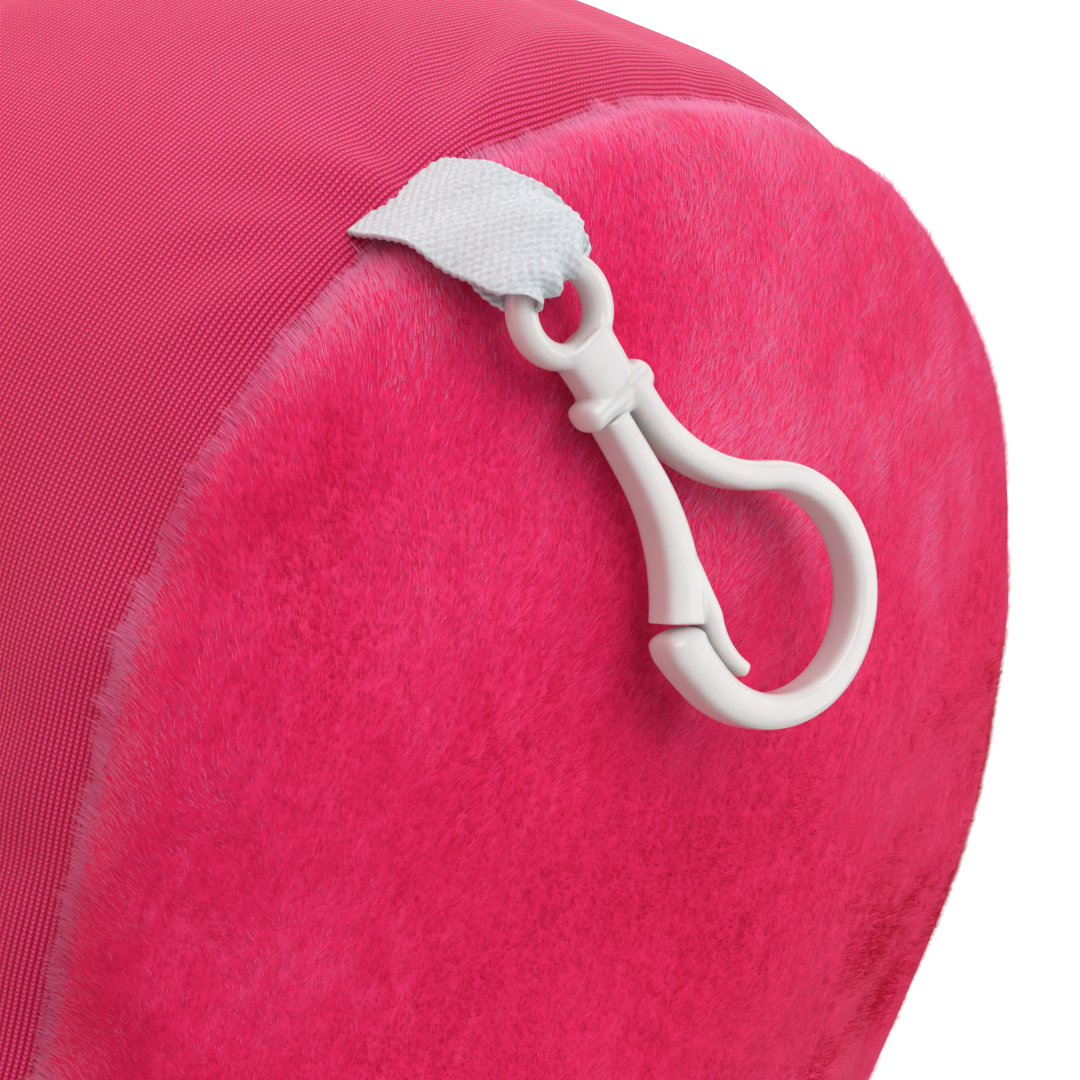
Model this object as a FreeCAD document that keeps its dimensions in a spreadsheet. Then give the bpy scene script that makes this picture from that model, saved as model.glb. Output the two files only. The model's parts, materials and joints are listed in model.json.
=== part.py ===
"""U-shaped travel neck pillow with a tape loop and a one-piece snap hook.

The pillow lies flat on its bottom face: +Z is up, +X and -X are its two arms, -Y is where
the arm tips point and +Y is the back of the neck. The origin is the centre of the bounding
box's bottom face. All lengths are in millimetres and all angles in degrees.
"""
import FreeCAD, Part
import math
import os
from FreeCAD import Placement, Rotation, Vector

doc = FreeCAD.newDocument("neck_pillow")

# ---------------------------------------------------------------- driving dimensions

SIZES = [
    ("neck_radius", 102.0, "centreline radius round the back of the neck"),
    ("arm_bend_radius", 300.0, "centreline radius of each arm, which toes in gently"),
    ("toe_in_angle", 16.0, "angle through which each arm toes in"),
    ("seam_half_width", 54.0, "half the width between the two seams of a face"),
    ("dome_rise", 22.0, "height of a face above its seam"),
    ("shoulder_bend", 12.0, "radius of a face's shoulder, beside the seam"),
    ("gusset_half_height", 30.0, "half the height of the gusset strip"),
    ("gusset_bow", 4.0, "how far the gusset bows out between its seams"),
    ("cover_thickness", 2.0, "thickness of the cloth with its pile"),
    ("rest_flat_depth", 0.8, "how far the bottom face is pressed flat where it rests"),
    ("fill_gap", 1.0, "clearance between the filling and the cover"),
    ("thread_radius", 0.4, "radius of a sewn thread run"),
    ("thread_inset", 0.5, "distance from the cover to the centre of a thread run inside it"),
    ("tape_width", 10.0, "width of the woven tape"),
    ("tape_pair_thickness", 1.3, "thickness of the tape's two layers together"),
    ("tape_angle", -41.0, "direction of the tape's root from the -X tip's centre, from +X"),
    ("tape_eye_bore", 1.9, "inner radius of the fold round the ring"),
    ("tape_eye_radius", 2.5, "outer radius of the fold round the ring"),
    ("tape_eye_width", 3.0, "width of the tape gathered through the ring"),
    ("hook_slope", 22.0, "slope of the hook where it lies on the top face"),
    ("hook_reach", 42.2, "distance of the hook's collar from the tip's centre, in plan"),
    ("hook_lift", 16.3, "height of the hook's collar above the seam"),
    ("ring_offset", 7.8, "distance from the collar to the ring's centre"),
    ("ring_radius", 3.45, "centreline radius of the hook's ring"),
    ("ring_bar_radius", 1.15, "radius of the ring's bar"),
    ("collar_half_width", 4.1, "half width of the collar over its two ears"),
    ("collar_half_height", 1.5, "half height of the collar along the hook"),
    ("collar_half_depth", 2.0, "half depth of the collar"),
    ("neck_bar_radius", 1.7, "radius of the short neck between ring and collar"),
    ("hook_bar_radius", 1.35, "radius of the hook arm"),
    ("arm_offset", 1.7, "distance of the hook arm from the hook's axis at the collar"),
    ("shoulder_radius", 13.8, "centreline radius of the arm's shoulder"),
    ("shoulder_angle", 58.0, "angle of the arm's shoulder"),
    ("loop_radius", 8.5, "centreline radius of the hook's loop"),
    ("loop_angle", 243.0, "angle of the hook's loop, from shoulder to tip"),
    ("gate_bar_radius", 1.2, "radius of the flexing gate arm"),
    ("gate_offset", 1.2, "distance of the gate arm from the hook's axis at the collar"),
    ("gate_root", 1.9, "distance of the gate's root below the collar's centre"),
    ("gate_straight", 6.0, "length of the gate's straight part"),
    ("gate_bend_radius", 19.0, "centreline radius of the gate's bend"),
    ("gate_bend_angle", 29.0, "angle of the gate's bend"),
    ("tongue_radius", 0.7, "radius of the tongue inside the hook's tip"),
    ("tongue_path_radius", 6.2, "radius of the tongue's path about the loop's centre"),
    ("tongue_angle", 62.0, "angle of the tongue's path"),
]

sheet = doc.addObject("Spreadsheet::Sheet", "Sizes")
for row, (alias, value, note) in enumerate(SIZES, start=1):
    sheet.set("A%d" % row, alias)
    sheet.set("B%d" % row, str(value))
    sheet.set("C%d" % row, note)
    sheet.setAlias("B%d" % row, alias)
doc.recompute()


def size(alias):
    """The value of one driving dimension."""
    return float(getattr(sheet, alias))


UP = Vector(0, 0, 1)
DOWN = Vector(0, 0, -1)
STITCH_COUNT = 9
STITCH_SPACING = 6.0
STITCH_LENGTH = 4.0
FLOOR_SIDE = 500.0
FLOOR_DEPTH = 20.0

mid_height = size("gusset_half_height") + size("dome_rise") - size("rest_flat_depth")
toe_in = math.radians(size("toe_in_angle"))

# The arm's bend turns about a point on the far side of the pillow's centreline.
arm_bend_centre = Vector(size("neck_radius") - size("arm_bend_radius"), 0, 0)
tip_centre = arm_bend_centre + Vector(math.cos(toe_in), -math.sin(toe_in), 0) * size("arm_bend_radius")
outline_back = size("neck_radius") + size("seam_half_width") + size("gusset_bow")
outline_front = tip_centre.y - size("seam_half_width") - size("gusset_bow")
centre_shift = Vector(0, -(outline_back + outline_front) / 2, 0)


# ---------------------------------------------------------------- helpers

def bind(item, **links):
    """Bind properties of an object to expressions on the sheet."""
    for name, expression in links.items():
        item.setExpression(name, expression)
    return item


def primitive(kind, name, placement=Placement(), **links):
    """A Part primitive with its sizes bound to the sheet."""
    item = doc.addObject(kind, name)
    item.Placement = placement
    return bind(item, **links)


def fuse(name, shapes):
    """One solid from several touching or crossing ones."""
    item = doc.addObject("Part::MultiFuse", name)
    item.Shapes = shapes
    item.Refine = True
    return item


def cut(name, base, tool):
    """The base without the tool."""
    item = doc.addObject("Part::Cut", name)
    item.Base = base
    item.Tool = tool
    return item


def mirror_sides(name, source):
    """The same object on the -X side."""
    item = doc.addObject("Part::Mirroring", name)
    item.Source = source
    item.Normal = Vector(1, 0, 0)
    return item


def revolve(name, source, base, axis, angle):
    """A solid swept by turning a flat section about an upright axis."""
    item = doc.addObject("Part::Revolution", name)
    item.Source = source
    item.Solid = True
    item.Base = base
    item.Axis = axis
    item.setExpression("Angle", angle)
    return item


def group(name, shapes):
    """Several separate solids kept together in one node."""
    item = doc.addObject("Part::Compound", name)
    item.Links = shapes
    return item


# ---------------------------------------------------------------- sections of the cover

def quarter_dome(inset):
    """Two tangent arcs from the ridge down to the seam, in the section's own plane.

    The shoulder arc ends upright at the seam and the crown arc ends level at the ridge. The
    inset moves both inwards about their own centres, so the cover has an even thickness.
    """
    half_width = size("seam_half_width")
    rise = size("dome_rise")
    seam = size("gusset_half_height")
    shoulder = size("shoulder_bend")
    reach = half_width - shoulder
    crown = (reach ** 2 + rise ** 2 - shoulder ** 2) / (2 * (rise - shoulder))
    meeting = math.atan2(crown - rise, reach)
    shoulder_circle = Part.Circle(Vector(reach, seam, 0), UP, shoulder - inset)
    crown_circle = Part.Circle(Vector(0, seam + rise - crown, 0), UP, crown - inset)
    return [Part.Arc(shoulder_circle, 0, meeting).toShape(),
            Part.Arc(crown_circle, meeting, math.pi / 2).toShape()]


def gusset_arc(half_width, half_height, bow):
    """A shallow arc from one seam down to the other."""
    return Part.Arc(Vector(half_width, half_height, 0), Vector(half_width + bow, 0, 0),
                    Vector(half_width, -half_height, 0)).toShape()


def line(start, end):
    """A straight edge between two points of the section."""
    return Part.LineSegment(Vector(*start), Vector(*end)).toShape()


def flat_face(edges):
    """A face inside a closed run of edges."""
    return Part.Face(Part.Wire(Part.__sortEdges__(edges)))


def mirrored_section(face):
    """The same half section on the other side of the section's upright axis."""
    return face.mirror(Vector(0, 0, 0), Vector(1, 0, 0))


def dome_half_section():
    """Half of a face panel's section, from its ridge to its seam."""
    half_width = size("seam_half_width")
    seam_level = size("gusset_half_height")
    top = seam_level + size("dome_rise")
    thick = size("cover_thickness")
    ends = [line((half_width, seam_level, 0), (half_width - thick, seam_level, 0)),
            line((0, top - thick, 0), (0, top, 0))]
    return flat_face(quarter_dome(0) + quarter_dome(thick) + ends)


def gusset_section():
    """The section of the gusset strip on one side."""
    half_width = size("seam_half_width")
    half_height = size("gusset_half_height")
    bow = size("gusset_bow")
    thick = size("cover_thickness")
    return flat_face([
        gusset_arc(half_width, half_height, bow),
        gusset_arc(half_width - thick, half_height, bow),
        line((half_width, half_height, 0), (half_width - thick, half_height, 0)),
        line((half_width, -half_height, 0), (half_width - thick, -half_height, 0)),
    ])


def fill_half_section():
    """Half of the filling's section, a little inside the cover."""
    inset = size("cover_thickness") + size("fill_gap")
    top = size("gusset_half_height") + size("dome_rise") - inset
    side = gusset_arc(size("seam_half_width") - inset, size("gusset_half_height"), size("gusset_bow"))
    upper = quarter_dome(inset)
    lower = [edge.mirror(Vector(0, 0, 0), Vector(0, 1, 0)) for edge in upper]
    return flat_face(upper + lower + [side, line((0, top, 0), (0, -top, 0))])


def seam_thread_section(height):
    """The round section of a thread run just inside a seam."""
    reach = size("seam_half_width") - size("cover_thickness") - size("thread_inset")
    circle = Part.Circle(Vector(reach, height, 0), Vector(0, 0, 1), size("thread_radius"))
    return Part.Face(Part.Wire([circle.toShape()]))


# ---------------------------------------------------------------- the U-shaped run of a section

def place_section(name, faces, centre, turn):
    """A flat section stood upright at a point of the centreline, turned about the vertical."""
    item = doc.addObject("Part::Feature", name)
    item.Shape = faces[0] if len(faces) == 1 else Part.makeCompound(faces)
    upright = Rotation(Vector(1, 0, 0), 90)
    item.Placement = Placement(centre, Rotation(UP, turn).multiply(upright))
    return item


def centreline_station():
    """Where the back of the pillow meets the +X arm."""
    return Vector(size("neck_radius"), 0, mid_height) + centre_shift


def u_run(label, sides, tip):
    """Sweep section faces round the back, down both arms and round both tips.

    sides are the faces swept along the back and arms; tip is the outward face turned about
    each tip's centre.
    """
    axis_base = centre_shift
    arm_base = arm_bend_centre + centre_shift
    tip_base = tip_centre + centre_shift
    station = place_section(label + "_section", sides, centreline_station(), 0)
    back = revolve(label + "_back", station, axis_base, UP, "180")
    arm = revolve(label + "_arm", station, arm_base, DOWN, "Sizes.toe_in_angle")
    facing_back = tip if tip.normalAt(0, 0).z < 0 else tip.reversed()
    tip_station = place_section(label + "_tip_section", [facing_back], tip_base + UP * mid_height,
                                -size("toe_in_angle"))
    end = revolve(label + "_tip", tip_station, tip_base, DOWN, "180")
    return fuse(label, [back, arm, mirror_sides(label + "_arm_far", arm),
                        end, mirror_sides(label + "_tip_far", end)])


def both_sides(face):
    """A half section together with its mirror image."""
    return [face, mirrored_section(face)]


# ---------------------------------------------------------------- soft parts of the pillow

def build_top_face():
    """The plush panel on top."""
    half = dome_half_section()
    return u_run("top_face_panel", both_sides(half), half)


def build_bottom_face():
    """The plush panel underneath, pressed flat where the pillow rests."""
    half = dome_half_section().mirror(Vector(0, 0, 0), Vector(0, 1, 0))
    round_panel = u_run("bottom_face_round", both_sides(half), half)
    corner = Vector(-FLOOR_SIDE / 2, -FLOOR_SIDE / 2, -FLOOR_DEPTH)
    floor_block = primitive("Part::Box", "floor_block", Placement(corner, Rotation()))
    floor_block.Length = FLOOR_SIDE
    floor_block.Width = FLOOR_SIDE
    floor_block.Height = FLOOR_DEPTH
    return cut("bottom_face_panel", round_panel, floor_block)


def build_outer_gusset():
    """The strip round the outside of the U, round both tips and along the inside of both arms."""
    section = gusset_section()
    outside = u_run("gusset_outside", [section], section)
    station = place_section("arm_inside_section", [mirrored_section(section)], centreline_station(), 0)
    inside = revolve("arm_inside", station, arm_bend_centre + centre_shift, DOWN, "Sizes.toe_in_angle")
    return fuse("outer_gusset", [outside, inside, mirror_sides("arm_inside_far", inside)])


def build_inner_gusset():
    """The strip round the neck opening, which meets the outer strip where the arms begin."""
    inner_section = [mirrored_section(gusset_section())]
    station = place_section("inner_gusset_section", inner_section, centreline_station(), 0)
    return revolve("inner_gusset", station, centre_shift, UP, "180")


def build_seam_thread(label, height):
    """The closed run of thread along one seam."""
    section = seam_thread_section(height)
    return u_run(label, both_sides(section), section)


def build_fill():
    """The cushion of beads."""
    half = fill_half_section()
    return u_run("microbead_fill", both_sides(half), half)


def gusset_bow_radius():
    """The radius of the gusset's bowed section."""
    half_height = size("gusset_half_height")
    bow = size("gusset_bow")
    return (half_height ** 2 + bow ** 2) / (2 * bow)


def build_gusset_joins():
    """The two short upright seams where the gusset strips meet, inside the root of each arm."""
    inward = Vector(-1, 0, 0)
    radius = gusset_bow_radius() - size("cover_thickness") - size("thread_inset")
    bow_centre = (centreline_station()
                  + inward * (size("seam_half_width") + size("gusset_bow") - gusset_bow_radius()))
    half_sweep = math.degrees(math.asin((size("gusset_half_height") - 4 * size("thread_radius")) / radius))
    turned = Placement(bow_centre, Rotation(inward, UP, UP.cross(inward) * -1, "XYZ"))
    run = primitive("Part::Torus", "gusset_join_run", turned.multiply(
        Placement(Vector(0, 0, 0), Rotation(UP, -half_sweep))), Radius2="Sizes.thread_radius")
    run.Radius1 = radius
    run.Angle3 = 2 * half_sweep
    return group("gusset_join_threads", [run, mirror_sides("gusset_join_run_far", run)])


def build_closing_stitches():
    """Short upright stitches that close the filling slot in the inner strip behind the neck."""
    stitches = []
    inner_wall = (size("neck_radius") - size("seam_half_width") - size("gusset_bow")
                  + size("cover_thickness"))
    reach = inner_wall + size("thread_inset")
    for index in range(STITCH_COUNT):
        turn = (index - (STITCH_COUNT - 1) / 2) * STITCH_SPACING / reach
        foot = Vector(reach * math.sin(turn), reach * math.cos(turn), mid_height - STITCH_LENGTH / 2)
        stitch = primitive("Part::Cylinder", "closing_stitch_%d" % (index + 1),
                           Placement(foot + centre_shift, Rotation()), Radius="Sizes.thread_radius")
        stitch.Height = STITCH_LENGTH
        stitches.append(stitch)
    return group("closing_stitches", stitches)


# ---------------------------------------------------------------- frames of the tape and the hook

tape_angle = math.radians(size("tape_angle"))
tape_outward = Vector(math.cos(tape_angle), math.sin(tape_angle), 0)
tape_across = Vector(-math.sin(tape_angle), math.cos(tape_angle), 0)
hook_tip_centre = Vector(-tip_centre.x, tip_centre.y, 0)
seam_centre = hook_tip_centre + centre_shift + UP * (mid_height + size("gusset_half_height"))

# The hook lies on the top face: hook_up points from its loop to its ring.
hook_slope = math.radians(size("hook_slope"))
hook_right = -tape_across
hook_up = tape_outward * math.cos(hook_slope) - UP * math.sin(hook_slope)
hook_normal = hook_right.cross(hook_up)
hook_origin = seam_centre + tape_outward * size("hook_reach") + UP * size("hook_lift")
ring_bar_centre = hook_origin + hook_up * (size("ring_offset") + size("ring_radius"))

# The tape starts just outside the seam and arches over to the ring's top bar, where it runs
# in line with the hook. Headings are measured from the inward direction towards +Z.
ROOT_CLEARANCE = 1.0
ROOT_LIFT = 0.6
tape_root = seam_centre + tape_outward * (size("seam_half_width") + ROOT_CLEARANCE) + UP * ROOT_LIFT
root_to_bar = ring_bar_centre - tape_root
chord_heading = math.atan2(root_to_bar.z, -root_to_bar.dot(tape_outward))
half_turn = chord_heading - hook_slope
arch_radius = root_to_bar.Length / (2 * math.sin(half_turn))
start_heading = chord_heading + half_turn
arch_centre = (tape_root - tape_outward * arch_radius * math.sin(start_heading)
               - UP * arch_radius * math.cos(start_heading))


def frame(origin, first, second, third):
    """A placement whose X, Y and Z axes point along three given directions."""
    matrix = FreeCAD.Matrix(first.x, second.x, third.x, origin.x,
                            first.y, second.y, third.y, origin.y,
                            first.z, second.z, third.z, origin.z,
                            0, 0, 0, 1)
    return Placement(matrix)


# ---------------------------------------------------------------- tape loop

ROOT_DIRECTION = math.pi / 2 - start_heading
ARCH_SWEEP = 2 * half_turn
WIDE_SHARE = 0.55
NARROWING_END = 3.2
GATHERED_END = 1.0


def tape_sector(name, radius, width, sweep):
    """A solid sector of the arch, from the tape's root round towards the ring."""
    radial = tape_outward * math.cos(ROOT_DIRECTION) + UP * math.sin(ROOT_DIRECTION)
    onward = UP * math.cos(ROOT_DIRECTION) - tape_outward * math.sin(ROOT_DIRECTION)
    corner = arch_centre + tape_across * (width / 2)
    item = primitive("Part::Cylinder", name, frame(corner, radial, onward, -tape_across))
    item.Radius = radius
    item.Height = width
    item.Angle = math.degrees(sweep)
    return item


def across_cylinder(name, radius_alias, width):
    """A cylinder across the tape at the ring's bar."""
    corner = ring_bar_centre - hook_right * (width / 2)
    item = primitive("Part::Cylinder", name, frame(corner, hook_up, hook_normal, hook_right))
    item.Height = width
    return bind(item, Radius="Sizes." + radius_alias)


def build_tape():
    """The two layers of tape as one arch, gathered to a narrow eye round the ring's bar."""
    outer = arch_radius + size("tape_pair_thickness") / 2
    inner = arch_radius - size("tape_pair_thickness") / 2
    full_width = size("tape_width")
    gathered = size("tape_eye_width")
    steps = [("wide", full_width, WIDE_SHARE * ARCH_SWEEP),
             ("narrowing", (full_width + gathered) / 2, ARCH_SWEEP - NARROWING_END / arch_radius),
             ("gathered", gathered, ARCH_SWEEP - GATHERED_END / arch_radius)]
    layers = [tape_sector("tape_" + name, outer, width, sweep) for name, width, sweep in steps]
    solid = fuse("tape_solid", layers)
    core = tape_sector("tape_core", inner, full_width + 2, 2 * math.pi)
    arch = cut("tape_arch", solid, core)
    eye = across_cylinder("tape_eye", "tape_eye_radius", gathered)
    bore = across_cylinder("tape_eye_bore_cut", "tape_eye_bore", full_width)
    return cut("hook_tape", fuse("tape_loop", [arch, eye]), bore)


# ---------------------------------------------------------------- snap hook

def bent_bar(name, centre, start, radius_alias, bar_alias, angle):
    """A round bar bent to an arc in the hook's own plane."""
    turn = Rotation(UP, start)
    return primitive("Part::Torus", name, Placement(centre, turn), Radius1="Sizes." + radius_alias,
                     Radius2="Sizes." + bar_alias, Angle3="Sizes." + angle)


def ball(name, centre, radius_alias):
    """The rounded end of a bar."""
    return primitive("Part::Sphere", name, Placement(centre, Rotation()), Radius="Sizes." + radius_alias)


def along_hook(name, start, radius_alias, height):
    """A straight round bar that runs towards the loop from a point on the hook."""
    towards_loop = Rotation(Vector(1, 0, 0), 90)
    return primitive("Part::Cylinder", name, Placement(start, towards_loop),
                     Radius="Sizes." + radius_alias, Height=height)


def arc_point(centre, radius, degrees):
    """A point on an arc in the hook's own plane."""
    angle = math.radians(degrees)
    return centre + Vector(math.cos(angle), math.sin(angle), 0) * radius


SHOULDER_DROP = 1.4
shoulder_centre = Vector(size("arm_offset") + size("shoulder_radius"), -SHOULDER_DROP, 0)
shoulder_end = arc_point(shoulder_centre, size("shoulder_radius"), 180 + size("shoulder_angle"))
loop_centre = shoulder_end - arc_point(Vector(0, 0, 0), size("loop_radius"), size("shoulder_angle"))
loop_start = size("shoulder_angle") - size("loop_angle")
gate_bend_centre = Vector(-size("gate_offset") - size("gate_bend_radius"),
                          -size("gate_root") - size("gate_straight"), 0)
TONGUE_START = 153.0


def build_hook():
    """The ring, neck, collar and hook arm, moulded as one piece."""
    ring_centre = Vector(0, size("ring_offset"), 0)
    ring = primitive("Part::Torus", "hook_ring", Placement(ring_centre, Rotation()),
                     Radius1="Sizes.ring_radius", Radius2="Sizes.ring_bar_radius")
    neck_top = Vector(0, size("ring_offset") - size("ring_radius"), 0)
    neck = along_hook("hook_neck", neck_top, "neck_bar_radius", "Sizes.ring_offset - Sizes.ring_radius")
    collar = primitive("Part::Ellipsoid", "hook_collar", Radius1="Sizes.collar_half_depth",
                       Radius2="Sizes.collar_half_width", Radius3="Sizes.collar_half_height")
    for limit, degrees in (("Angle1", -90), ("Angle2", 90), ("Angle3", 360)):
        setattr(collar, limit, degrees)
    shoulder = bent_bar("hook_shoulder", shoulder_centre, 180, "shoulder_radius", "hook_bar_radius",
                        "shoulder_angle")
    loop = bent_bar("hook_loop", loop_centre, loop_start, "loop_radius", "hook_bar_radius", "loop_angle")
    tip = ball("hook_tip", arc_point(loop_centre, size("loop_radius"), loop_start), "hook_bar_radius")
    return fuse("snap_hook", [ring, neck, collar, shoulder, loop, tip])


def build_gate():
    """The flexing gate arm with the tongue that closes inside the hook's tip."""
    root = Vector(-size("gate_offset"), -size("gate_root"), 0)
    straight = along_hook("gate_straight_bar", root, "gate_bar_radius", "Sizes.gate_straight")
    bend = bent_bar("gate_bend", gate_bend_centre, -size("gate_bend_angle"), "gate_bend_radius",
                    "gate_bar_radius", "gate_bend_angle")
    end = ball("gate_end", arc_point(gate_bend_centre, size("gate_bend_radius"), -size("gate_bend_angle")),
               "gate_bar_radius")
    tongue = bent_bar("gate_tongue", loop_centre, TONGUE_START, "tongue_path_radius", "tongue_radius",
                      "tongue_angle")
    tongue_tip = ball("gate_tongue_tip",
                      arc_point(loop_centre, size("tongue_path_radius"), TONGUE_START + size("tongue_angle")),
                      "tongue_radius")
    return fuse("hook_gate", [straight, bend, end, tongue, tongue_tip])


# ---------------------------------------------------------------- build and write

hook_frame = frame(hook_origin, hook_right, hook_up, hook_normal)
hook = build_hook()
gate = build_gate()
hook.Placement = hook_frame
gate.Placement = hook_frame

nodes = {
    "microbead_fill": build_fill(),
    "top_face_panel": build_top_face(),
    "bottom_face_panel": build_bottom_face(),
    "outer_gusset": build_outer_gusset(),
    "inner_gusset": build_inner_gusset(),
    "top_seam_thread": build_seam_thread("top_seam_thread", size("gusset_half_height")),
    "bottom_seam_thread": build_seam_thread("bottom_seam_thread", -size("gusset_half_height")),
    "gusset_join_threads": build_gusset_joins(),
    "closing_stitches": build_closing_stitches(),
    "hook_tape": build_tape(),
    "snap_hook": hook,
    "hook_gate": gate,
}
doc.recompute()

for item in doc.Objects:
    if "Invalid" in item.State or "Error" in item.State:
        raise RuntimeError("%s failed: %s" % (item.Name, item.State))

os.makedirs("parts", exist_ok=True)
for label, item in nodes.items():
    item.Label = label
    if item.Shape.isNull() or not item.Shape.isValid():
        raise RuntimeError("%s has no valid shape" % label)
    item.Shape.exportStep("parts/%s.step" % label)
    print("%-22s %10.1f mm3, %d solid(s)" % (label, item.Shape.Volume, len(item.Shape.Solids)))
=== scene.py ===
"""Look of the U-shaped neck pillow: plush faces with real pile, a knitted gusset, a woven tape
loop and a moulded snap hook. All lengths are in metres, in the frame of the CAD model."""
import json
import math

import bpy
import numpy as np
from mathutils import Matrix, Vector


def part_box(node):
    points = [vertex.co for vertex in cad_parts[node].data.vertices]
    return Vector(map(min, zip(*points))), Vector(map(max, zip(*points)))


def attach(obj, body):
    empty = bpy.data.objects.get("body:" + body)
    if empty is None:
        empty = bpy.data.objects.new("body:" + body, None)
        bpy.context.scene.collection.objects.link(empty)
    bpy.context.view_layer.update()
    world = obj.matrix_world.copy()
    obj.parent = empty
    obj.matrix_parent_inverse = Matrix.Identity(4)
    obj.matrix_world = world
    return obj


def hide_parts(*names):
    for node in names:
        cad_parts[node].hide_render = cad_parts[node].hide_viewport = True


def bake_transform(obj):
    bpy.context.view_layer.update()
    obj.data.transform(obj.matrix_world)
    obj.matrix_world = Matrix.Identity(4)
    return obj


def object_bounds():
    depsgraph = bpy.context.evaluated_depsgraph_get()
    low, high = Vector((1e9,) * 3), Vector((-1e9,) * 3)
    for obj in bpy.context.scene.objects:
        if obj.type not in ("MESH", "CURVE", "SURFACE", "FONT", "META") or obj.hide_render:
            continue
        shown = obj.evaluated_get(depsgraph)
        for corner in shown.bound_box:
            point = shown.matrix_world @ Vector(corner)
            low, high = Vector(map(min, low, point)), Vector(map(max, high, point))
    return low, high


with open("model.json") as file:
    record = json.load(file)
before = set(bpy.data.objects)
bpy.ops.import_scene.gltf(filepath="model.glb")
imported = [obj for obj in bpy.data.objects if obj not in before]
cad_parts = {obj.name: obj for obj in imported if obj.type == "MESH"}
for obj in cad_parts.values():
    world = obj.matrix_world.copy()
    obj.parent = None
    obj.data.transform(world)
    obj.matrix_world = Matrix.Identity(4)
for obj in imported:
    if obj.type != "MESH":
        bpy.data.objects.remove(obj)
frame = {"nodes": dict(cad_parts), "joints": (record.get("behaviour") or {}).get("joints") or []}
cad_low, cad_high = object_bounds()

MM = 0.001
UP = Vector((0, 0, 1))
random = np.random.default_rng(7)

# ---------------------------------------------------------------- the frame of the object

NECK_RADIUS = 0.102
BEND_RADIUS = 0.300
TOE_IN = math.radians(16)
HALF_WIDTH = 0.054
DOME_RISE = 0.022
SHOULDER_BEND = 0.012
GUSSET_BOW = 0.004
HALF_HEIGHT = 0.030

_, face_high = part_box("top_face_panel")
_, gusset_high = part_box("outer_gusset")
TOP = face_high.z
TOP_SEAM = TOP - DOME_RISE
MIDDLE = TOP_SEAM - HALF_HEIGHT
BOTTOM_SEAM = MIDDLE - HALF_HEIGHT
NECK_Y = cad_high.y - gusset_high.x
ARM_LENGTH = BEND_RADIUS * TOE_IN
CENTRE_LENGTH = 2 * ARM_LENGTH + math.pi * NECK_RADIUS

joints = {joint["name"]: joint for joint in frame["joints"]}
tape_root = Vector(joints["tape_hinge"]["pos_m"])
tape_across = Vector(joints["tape_hinge"]["axis"])
tape_outward = tape_across.cross(UP)
ring_bar = Vector(joints["hook_swing"]["pos_m"])
hook_normal = Vector(joints["gate_flex"]["axis"])
hook_right = -tape_across
hook_up = hook_normal.cross(hook_right)
RING_OFFSET = 7.8 * MM
RING_RADIUS = 3.45 * MM
hook_origin = ring_bar - hook_up * (RING_OFFSET + RING_RADIUS)
tip_centre = Vector((BEND_RADIUS - NECK_RADIUS - BEND_RADIUS * math.cos(TOE_IN),
                     NECK_Y - BEND_RADIUS * math.sin(TOE_IN), TOP_SEAM))


# ---------------------------------------------------------------- camera

CAMERA_AZIMUTH = math.radians(85.47)
CAMERA_HEIGHT_ANGLE = math.radians(37.71)
CAMERA_ROLL = math.radians(113.1)
CAMERA_DISTANCE = 0.2562
CAMERA_LENS = 100.0
TARGET_RIGHT = -2.6 * MM
TARGET_UP = 15.6 * MM


def make_camera():
    """A camera close to the tip with the hook, rolled as the object was held."""
    azimuth, height = CAMERA_AZIMUTH, CAMERA_HEIGHT_ANGLE
    back = Vector((math.sin(azimuth) * math.cos(height), -math.cos(azimuth) * math.cos(height),
                   math.sin(height)))
    level = Vector((math.cos(azimuth), math.sin(azimuth), 0))
    lift = back.cross(level)
    right = level * math.cos(CAMERA_ROLL) + lift * math.sin(CAMERA_ROLL)
    up = lift * math.cos(CAMERA_ROLL) - level * math.sin(CAMERA_ROLL)
    target = tip_centre + right * TARGET_RIGHT + up * TARGET_UP
    data = bpy.data.cameras.new("camera")
    data.lens = CAMERA_LENS
    data.clip_start = 0.01
    data.clip_end = 20
    camera = bpy.data.objects.new("camera", data)
    bpy.context.scene.collection.objects.link(camera)
    axes = Matrix((right, up, back)).transposed()
    camera.matrix_world = Matrix.Translation(target + back * CAMERA_DISTANCE) @ axes.to_4x4()
    bpy.context.scene.camera = camera


# ---------------------------------------------------------------- helpers

def new_object(name, vertices, faces, body=None):
    """A mesh object from arrays of points and faces, linked to the scene."""
    mesh = bpy.data.meshes.new(name)
    mesh.from_pydata([tuple(v) for v in vertices], [], [tuple(int(i) for i in f) for f in faces])
    mesh.polygons.foreach_set("use_smooth", [True] * len(mesh.polygons))
    item = bpy.data.objects.new(name, mesh)
    bpy.context.scene.collection.objects.link(item)
    if body:
        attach(item, body)
    return item


def apply_modifiers(item):
    """Replace an object's mesh with what its modifiers make of it."""
    shown = item.evaluated_get(bpy.context.evaluated_depsgraph_get())
    made = bpy.data.meshes.new_from_object(shown)
    item.modifiers.clear()
    item.data = made


def points_of(mesh):
    """The mesh's points as an array."""
    flat = np.empty(len(mesh.vertices) * 3)
    mesh.vertices.foreach_get("co", flat)
    return flat.reshape(-1, 3)


def normals_of(mesh):
    """The mesh's point normals as an array."""
    flat = np.empty(len(mesh.vertices) * 3)
    mesh.vertices.foreach_get("normal", flat)
    return flat.reshape(-1, 3)


def tube_faces(rings, sides, closed=False):
    """Side faces of a tube whose points run ring by ring. A closed tube joins its ends."""
    faces = []
    for ring in range(rings if closed else rings - 1):
        here, onward = ring * sides, (ring + 1) % rings * sides
        for corner in range(sides):
            after = (corner + 1) % sides
            faces.append([here + corner, here + after, onward + after, onward + corner])
    return faces


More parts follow.
